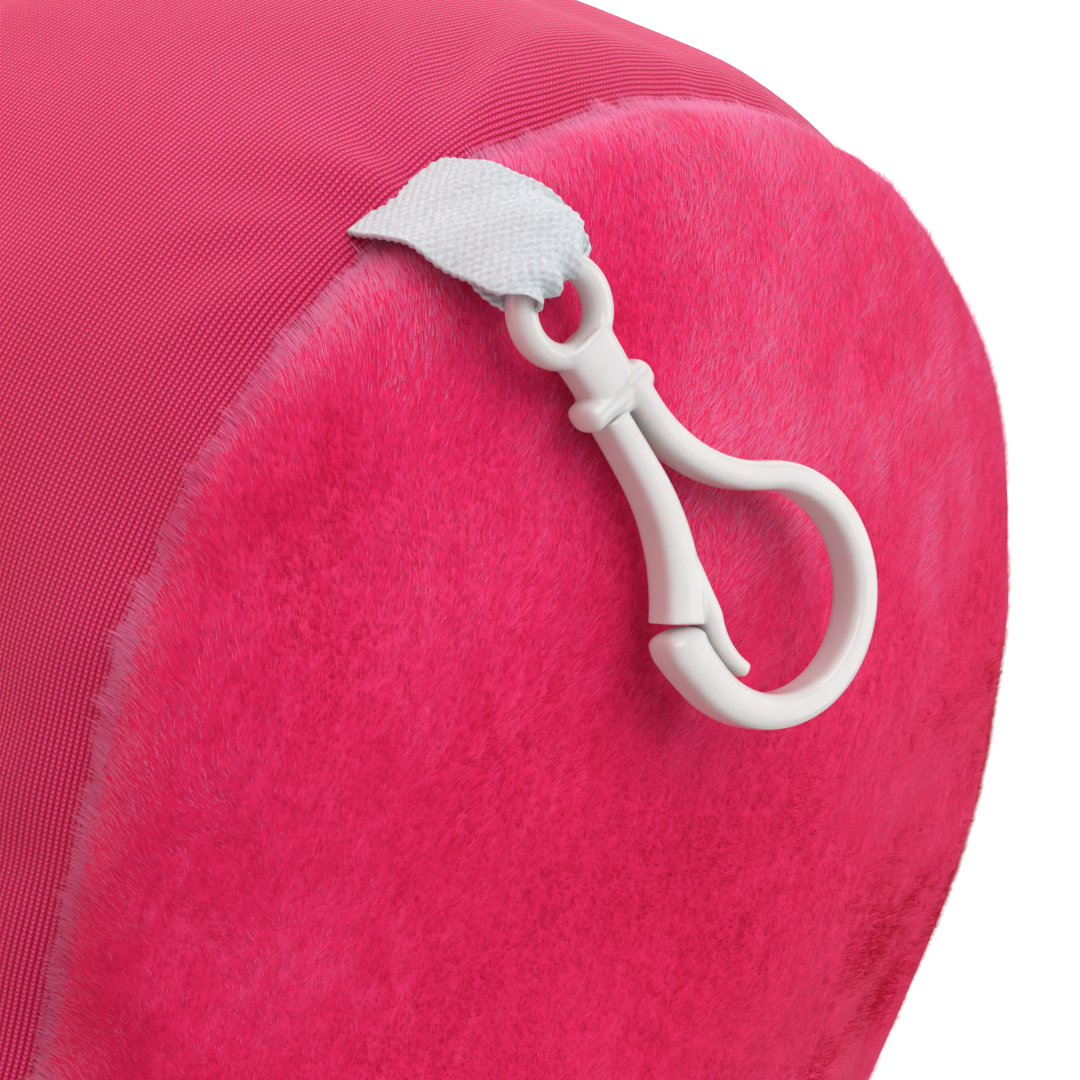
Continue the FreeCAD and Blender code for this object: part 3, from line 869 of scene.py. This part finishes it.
def fibre_shades(roots):
    """0 deep, 1 mid, 2 bright, 3 pale and 4 palest, in brushed patches, and paler along the seams and high
    on the dome as painted sheen.
    """
    stretched = roots * np.array([1, 0.5, 0.7])
    patch = 0.6 * waves(stretched, 32 * MM, 21) + 0.2 * waves(stretched, 6 * MM, 22)
    gap, _ = seam_frame(roots)
    # Painted sheen: roots high on the dome and near the seams get paler shades, in place of the plush's
    # grazing-angle sheen.
    crest_sheen = 0.5 * smooth_step((np.abs(roots[:, 2] - MIDDLE) - HALF_HEIGHT - 8 * MM) / (12 * MM))
    tone = patch + crest_sheen + 2.1 * np.exp(-gap / (8 * MM)) + random.normal(0, 0.35, len(roots))
    return np.digitize(tone, [-0.3, 0.4, 0.9, 1.4])


def make_pile(pieces):
    """Dense pile on the tip that carries the hook, sparser and coarser pile elsewhere."""
    centre = np.array(tip_centre)

    def near(points):
        return np.linalg.norm((points - centre)[:, :2], axis=1) < NEAR_REACH

    def near_seam(points):
        return near(points) & (seam_frame(points)[0] < SEAM_BAND)

    roots, facing = scatter(pieces["top_plush"], NEAR_DENSITY, near)
    shades = fibre_shades(roots)
    nap = nap_directions(roots)
    third = len(roots) // 3
    for part, chosen in (("pile_tip_a", slice(0, third)), ("pile_tip_b", slice(third, 2 * third)),
                         ("pile_tip_c", slice(2 * third, None))):
        glow = 0.5 * np.exp(-seam_frame(roots[chosen])[0] / (4 * MM))[:, None]
        lay_pile(part, roots[chosen], facing[chosen], nap[chosen], *NEAR_FIBRE, shades[chosen], glow)
    roots, facing = scatter(pieces["top_plush"], SEAM_DENSITY, near_seam)
    length, width = SEAM_FIBRE
    tufts = length * (1 + 0.35 * waves(roots, 3.2 * MM, 31))[:, None]
    lay_pile("pile_seam", roots, facing, nap_directions(roots), tufts, width, fibre_shades(roots), 0.6)
    for part, panel, density in (("pile_top", "top_plush", FAR_TOP_DENSITY),
                                 ("pile_bottom", "bottom_plush", FAR_BOTTOM_DENSITY)):
        roots, facing = scatter(pieces[panel], density, lambda points: ~near(points))
        raised = roots[:, 2] > LOWEST_ROOT
        roots, facing = roots[raised], facing[raised]
        lay_pile(part, roots, facing, nap_directions(roots), *FAR_FIBRE, fibre_shades(roots))


# ---------------------------------------------------------------- snap hook

# The hook's outline in its own plane, in millimetres and degrees.
SHOULDER_CENTRE = (15.5, -1.4)
SHOULDER_RADIUS = 13.8
SHOULDER_ANGLE = 58
LOOP_RADIUS = 9.0
LOOP_ANGLE = 228
TIP_POINTS = [(-5.75, -20.4), (-5.85, -18.8), (-5.3, -17.35)]
GATE_BEND_CENTRE = (-19.2, -6.2)
GATE_BEND_RADIUS = 18.0
GATE_BEND_ANGLE = 38.2
TONGUE_PATH_RADIUS = 6.35
TONGUE_START = 158
TONGUE_ANGLE = 53


def arc(centre, radius, start, sweep, count=24):
    """Points along an arc in the hook's own plane, in millimetres."""
    angles = np.radians(start + np.linspace(0, sweep, count))
    return np.stack([centre[0] + radius * np.cos(angles), centre[1] + radius * np.sin(angles)], axis=1)


def rounded(distance, reach):
    """How full a bar's section is at a distance from its rounded end."""
    share = np.clip(distance / reach, 0.01, 1)
    return np.sqrt(share * (2 - share))


SPINE_STEP = 0.12
SECTION_POINTS = 24


def bar(path, width, depth, squareness, round_start=False, round_end=True, late=1.0):
    """A bar with a rounded-rectangle section along a path in the hook's plane.

    width and depth are (start, end) sizes, and a higher late keeps the start size for longer.
    Returns points in the hook's frame and faces.
    """
    steps = np.linalg.norm(np.diff(path, axis=0), axis=1)
    run = np.concatenate([[0], np.cumsum(steps)])
    stops = np.arange(0, run[-1], SPINE_STEP)
    spine = np.stack([np.interp(stops, run, path[:, axis]) for axis in (0, 1)], axis=1)
    heading = np.gradient(spine, axis=0)
    heading /= np.linalg.norm(heading, axis=1)[:, None]
    side = np.stack([heading[:, 1], -heading[:, 0]], axis=1)
    share = (stops / stops[-1]) ** late
    wide = width[0] + (width[1] - width[0]) * share
    deep = depth[0] + (depth[1] - depth[0]) * share
    cap = np.ones(len(stops))
    reach = min(width[1], depth[1]) * 0.3
    if round_end:
        cap *= rounded(stops[-1] - stops, reach)
    if round_start:
        cap *= rounded(stops, reach)
    count = SECTION_POINTS
    angles = np.linspace(0, 2 * math.pi, count, endpoint=False)
    power = 2 / squareness
    across = np.sign(np.cos(angles)) * np.abs(np.cos(angles)) ** power / 2
    through = np.sign(np.sin(angles)) * np.abs(np.sin(angles)) ** power / 2
    points = np.empty((len(stops), count, 3))
    aside = across[None, :, None] * (wide * cap)[:, None, None]
    points[:, :, :2] = spine[:, None, :] + side[:, None, :] * aside
    points[:, :, 2] = through[None, :] * (deep * cap)[:, None]
    faces = tube_faces(len(stops), count)
    faces.append(list(range(count))[::-1])
    faces.append([(len(stops) - 1) * count + corner for corner in range(count)])
    return points.reshape(-1, 3), faces


def moulding(name, parts, node, body, voxel):
    """Overlapping bars melted into one moulded piece with soft inner corners."""
    points, faces, offset = [], [], 0
    for part_points, part_faces in parts:
        points.append(part_points)
        faces += [[index + offset for index in face] for face in part_faces]
        offset += len(part_points)
    local = np.concatenate(points) * MM
    axes = np.array([hook_right, hook_up, hook_normal])
    piece = new_object(name, np.array(hook_origin) + local @ axes, faces)
    melt = piece.modifiers.new("melt", "REMESH")
    melt.mode = "VOXEL"
    melt.voxel_size = voxel * MM
    soften = piece.modifiers.new("soften", "SMOOTH")
    soften.factor = 0.5
    soften.iterations = 7
    apply_modifiers(piece)
    piece.data.polygons.foreach_set("use_smooth", np.ones(len(piece.data.polygons), bool))
    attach(piece, body)
    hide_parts(node)
    piece.data.materials.clear()
    piece.data.materials.append(plastic)


def make_hook():
    """Ring, neck, eared collar and hook arm in one moulding, and the gate with its tongue."""
    loop_join = (SHOULDER_CENTRE[0] + SHOULDER_RADIUS * math.cos(math.radians(180 + SHOULDER_ANGLE)),
                 SHOULDER_CENTRE[1] + SHOULDER_RADIUS * math.sin(math.radians(180 + SHOULDER_ANGLE)))
    loop_centre = (loop_join[0] - LOOP_RADIUS * math.cos(math.radians(SHOULDER_ANGLE)),
                   loop_join[1] - LOOP_RADIUS * math.sin(math.radians(SHOULDER_ANGLE)))
    shoulder = arc(SHOULDER_CENTRE, SHOULDER_RADIUS, 180, SHOULDER_ANGLE)
    loop = arc(loop_centre, LOOP_RADIUS, SHOULDER_ANGLE, -LOOP_ANGLE, 60)
    arm_path = np.concatenate([[(1.5, 0.5)], shoulder, loop[1:], TIP_POINTS])
    ring = arc((-0.2, RING_OFFSET / MM - 0.1), RING_RADIUS / MM, -90, 359.0, 60)
    hook_parts = [
        bar(ring, (2.05, 2.05), (2.6, 2.6), squareness=2.5, round_end=False),
        bar(np.array([(-0.1, 5.1), (0, 2.5), (0, -0.4)]), (4.9, 4.3), (3.0, 3.4), squareness=4.5),
        bar(np.array([(-3.6, 0), (3.7, 0)]), (2.45, 2.45), (3.45, 3.45), squareness=2.6, round_start=True),
        bar(arm_path, (2.3, 3.9), (3.5, 3.7), squareness=4.5, late=5.0),
        bar(np.array([(0.4, 0), (0.5, -1.9)]), (4.6, 2.8), (3.2, 3.0), squareness=4),
    ]
    moulding("hook_moulding", hook_parts, "snap_hook", "hook", voxel=0.17)
    bend = arc(GATE_BEND_CENTRE, GATE_BEND_RADIUS, 0, -GATE_BEND_ANGLE)
    gate_path = np.concatenate([[(-1.25, -1.05), (-1.2, -4.0)], bend])
    tongue_arc = arc(loop_centre, TONGUE_PATH_RADIUS, TONGUE_START, TONGUE_ANGLE)
    tongue_path = np.concatenate([[(-2.25, -11.5), (-2.3, -14.5)], tongue_arc])
    gate_parts = [
        bar(gate_path, (2.3, 3.7), (3.3, 3.4), squareness=4.5, round_end=False, late=1.5),
        bar(tongue_path, (2.7, 1.2), (3.4, 2.4), squareness=4, round_start=True),
    ]
    moulding("gate_moulding", gate_parts, "hook_gate", "gate", voxel=0.13)


# ---------------------------------------------------------------- tape

# Lengths of the tape are in millimetres, like the places that tape_spine returns.
TAPE_WIDTH = 10.0
TAPE_THICK = 0.42
TAPE_PITCH_ALONG = 0.42
TAPE_PITCH_ACROSS = 0.55
EYE_RADIUS = 1.7
EYE_WIDTH = 5.4
PINCH_LENGTH = 1.7
ARCH_SHARE = 0.42
HIDDEN_END = 2.6
GATHER_HEIGHT = 0.8
RIPPLE_HEIGHT = 0.22
EDGE_DROOP = 0.8
WEAVE_HEIGHT = 0.085
SCALLOP_DEPTH = 0.06
EDGE_WANDER = 0.25
LOWER_OFFSET = 1.1
ACROSS_STEPS = 84
ALONG_STEP = 0.1


def tape_spine():
    """(place, outward-facing normal, share of the way to the ring) along both layers.

    Places are in millimetres in the tape's upright plane: towards the pillow, then up, from
    the ring's bar.
    """
    to_bar = (ring_bar - tape_root) / MM
    chord = Vector((-to_bar.dot(tape_outward), to_bar.z))
    slope = math.atan2(-hook_up.z, hook_up.dot(tape_outward))
    chord_heading = math.atan2(chord.y, chord.x)
    half_turn = (chord_heading - slope) * ARCH_SHARE
    radius = chord.length / (2 * math.sin(half_turn))
    start = chord_heading + half_turn
    finish = chord_heading - half_turn
    centre = -np.array(chord) + radius * np.array([math.sin(start), -math.cos(start)])
    arch_length = radius * 2 * half_turn
    count = int(arch_length / ALONG_STEP)
    headings = np.linspace(start, finish, count)
    outer = np.stack([-np.sin(headings), np.cos(headings)], axis=1)
    share = np.linspace(0, 1, count)
    closed = TAPE_THICK * 0.75
    part = closed + (EYE_RADIUS - closed) * smooth_step((share - 0.5) / 0.5)
    arch = centre + outer * radius
    turn = np.linspace(0, math.pi, int(math.pi * EYE_RADIUS / ALONG_STEP))[1:-1]
    eye_angles = finish + math.pi / 2 - turn
    eye = np.stack([np.cos(eye_angles), np.sin(eye_angles)], axis=1)
    ahead = np.array([math.cos(start), math.sin(start)])
    hidden = np.arange(HIDDEN_END, 0, -ALONG_STEP)[:, None]
    places = np.concatenate([arch[0] + outer[0] * part[0] - ahead * hidden, arch + outer * part[:, None],
                             eye * EYE_RADIUS, (arch - outer * part[:, None])[::-1],
                             arch[0] - outer[0] * part[0] - ahead * hidden[::-1]])
    facing = np.concatenate([np.repeat(outer[:1], len(hidden), 0), outer, eye, -outer[::-1],
                             np.repeat(-outer[:1], len(hidden), 0)])
    nearness = np.concatenate([np.zeros(len(hidden)), share, np.ones(len(eye)), share[::-1],
                               np.zeros(len(hidden))])
    return places, facing, nearness


def make_tape():
    """The folded tape as woven cloth: a checker of raised yarns, wavy edges and gathers."""
    places, facing, nearness = tape_spine()
    steps = np.linalg.norm(np.diff(places, axis=0), axis=1)
    along = np.concatenate([[0], np.cumsum(steps)])[:, None]
    across = np.linspace(-0.5, 0.5, ACROSS_STEPS)[None, :]
    near = nearness[:, None]
    upper = (np.arange(len(places)) < len(places) / 2)[:, None]
    middle = along[-1, 0] / 2
    narrow = np.exp(-((along - middle) / PINCH_LENGTH) ** 2)
    width = TAPE_WIDTH + (EYE_WIDTH - TAPE_WIDTH) * narrow
    gather = GATHER_HEIGHT * narrow ** 2 * (0.5 - 0.5 * np.cos(2 * math.pi * (2.5 * across + 0.25)))
    ripple = RIPPLE_HEIGHT * np.sin(2 * math.pi * (along / 8.0 + across * 0.7)) * smooth_step(near * 3)
    droop = -EDGE_DROOP * (2 * np.abs(across)) ** 3 * smooth_step((near - 0.35) * 2.2)
    droop = droop * np.where(upper, 1.0, 0.2)
    pick = np.sin(math.pi * along / TAPE_PITCH_ALONG)
    weave = WEAVE_HEIGHT * pick * np.sin(math.pi * across * TAPE_WIDTH / TAPE_PITCH_ACROSS)
    scallop = SCALLOP_DEPTH * pick * np.sign(across) * (2 * np.abs(across)) ** 8
    wander = EDGE_WANDER * np.sin(2 * math.pi * along / 7.0) * np.sign(across)
    lift = gather + (ripple + droop) * (1 - narrow) + weave
    aside = across * width + scallop + wander * np.abs(across)
    aside = aside - np.where(upper, 0.0, LOWER_OFFSET) * (1 - narrow)
    inward = np.array(-tape_outward)
    up = np.array(UP)
    sideways = np.array(tape_across)

    def surface(offset):
        height = lift + offset
        flat = places[:, None, :] + facing[:, None, :] * height[:, :, None]
        world = (flat[:, :, :1] * inward + flat[:, :, 1:] * up + aside[:, :, None] * sideways) * MM
        return world.reshape(-1, 3) + np.array(ring_bar)

    points = np.concatenate([surface(TAPE_THICK / 2), surface(-TAPE_THICK / 2)])
    rows, columns = len(places), ACROSS_STEPS
    back = rows * columns
    row, column = np.meshgrid(np.arange(rows - 1), np.arange(columns - 1), indexing="ij")
    corner = (row * columns + column).ravel()
    front = np.stack([corner, corner + 1, corner + columns + 1, corner + columns], axis=1)
    faces = [front, front[:, ::-1] + back]
    for edge in (np.arange(columns), (rows - 1) * columns + np.arange(columns)[::-1],
                 (np.arange(rows) * columns)[::-1], np.arange(rows) * columns + columns - 1):
        faces.append(np.stack([edge[1:], edge[:-1], edge[:-1] + back, edge[1:] + back], axis=1))
    tape = new_object("woven_tape", points, np.concatenate(faces))
    tape.data.materials.append(yarn)
    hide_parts("hook_tape")
    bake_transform(tape)


# ---------------------------------------------------------------- stage

FLOOR_HALF_SIDE = 4.0
FLOOR_DROP = 0.4 * MM
FLOOR_GLOW = 0.65
SURROUND_STRENGTH = 0.5


def area_light(name, place, size, power):
    """A soft white square light that faces a point between the origin and the tip with the hook."""
    data = bpy.data.lights.new(name, "AREA")
    data.size = size
    data.energy = power
    light = bpy.data.objects.new(name, data)
    bpy.context.scene.collection.objects.link(light)
    light.location = place
    light.rotation_euler = (Vector(place) - tip_centre * 0.5).to_track_quat("Z", "Y").to_euler()


def make_stage():
    """Pale floor, soft lights and an even white surround."""
    side = FLOOR_HALF_SIDE
    corners = [(-side, -side, 0), (side, -side, 0), (side, side, 0), (-side, side, 0)]
    floor = new_object("floor", corners, [(0, 1, 2, 3)])
    floor.location.z = -FLOOR_DROP
    pale = material("floor", (0.86, 0.86, 0.86), roughness=0.9)
    shader = pale.node_tree.nodes["Principled BSDF"]
    shader.inputs["Emission Color"].default_value = (1, 1, 1, 1)
    shader.inputs["Emission Strength"].default_value = FLOOR_GLOW
    floor.data.materials.append(pale)
    world = bpy.data.worlds.new("surround")
    world.use_nodes = True
    background = world.node_tree.nodes["Background"]
    background.inputs["Color"].default_value = (1, 1, 1, 1)
    background.inputs["Strength"].default_value = SURROUND_STRENGTH
    bpy.context.scene.world = world
    area_light("key", (0.25, -0.75, 0.75), 0.75, 4.8)
    area_light("side", (-0.6, -0.45, 0.8), 0.5, 1.8)
    area_light("fill", (0.6, 0.45, 0.5), 0.8, 0.5)
    bpy.context.scene.view_settings.view_transform = "Standard"


# ---------------------------------------------------------------- build

make_camera()
make_stage()
knit = knit_material()
plush = backing_material()
pile_shades = pile_materials()
beads = bead_material()
thread = thread_material()
cover = make_cover_cage()
puff(cover)
slump_arms(cover)
make_bead_fill(cover)
make_seam_threads(cover)
subdivide = cover.modifiers.new("smooth", "SUBSURF")
subdivide.levels = 2
subdivide.render_levels = 2
apply_modifiers(cover)
shape_cover(cover)
pieces = split_cover(cover)
for name, piece in pieces.items():
    piece.data.materials.append(plush if "plush" in name else knit)
make_pile(pieces)
plastic = hook_material()
yarn = tape_material()
make_hook()
make_tape()

node_materials = {"microbead_fill": beads, "hook_tape": yarn, "snap_hook": plastic, "hook_gate": plastic}
for node in ("top_seam_thread", "bottom_seam_thread", "gusset_join_threads", "closing_stitches"):
    node_materials[node] = thread
for node, chosen in node_materials.items():
    for slot in frame["nodes"][node].material_slots:
        slot.material = chosen
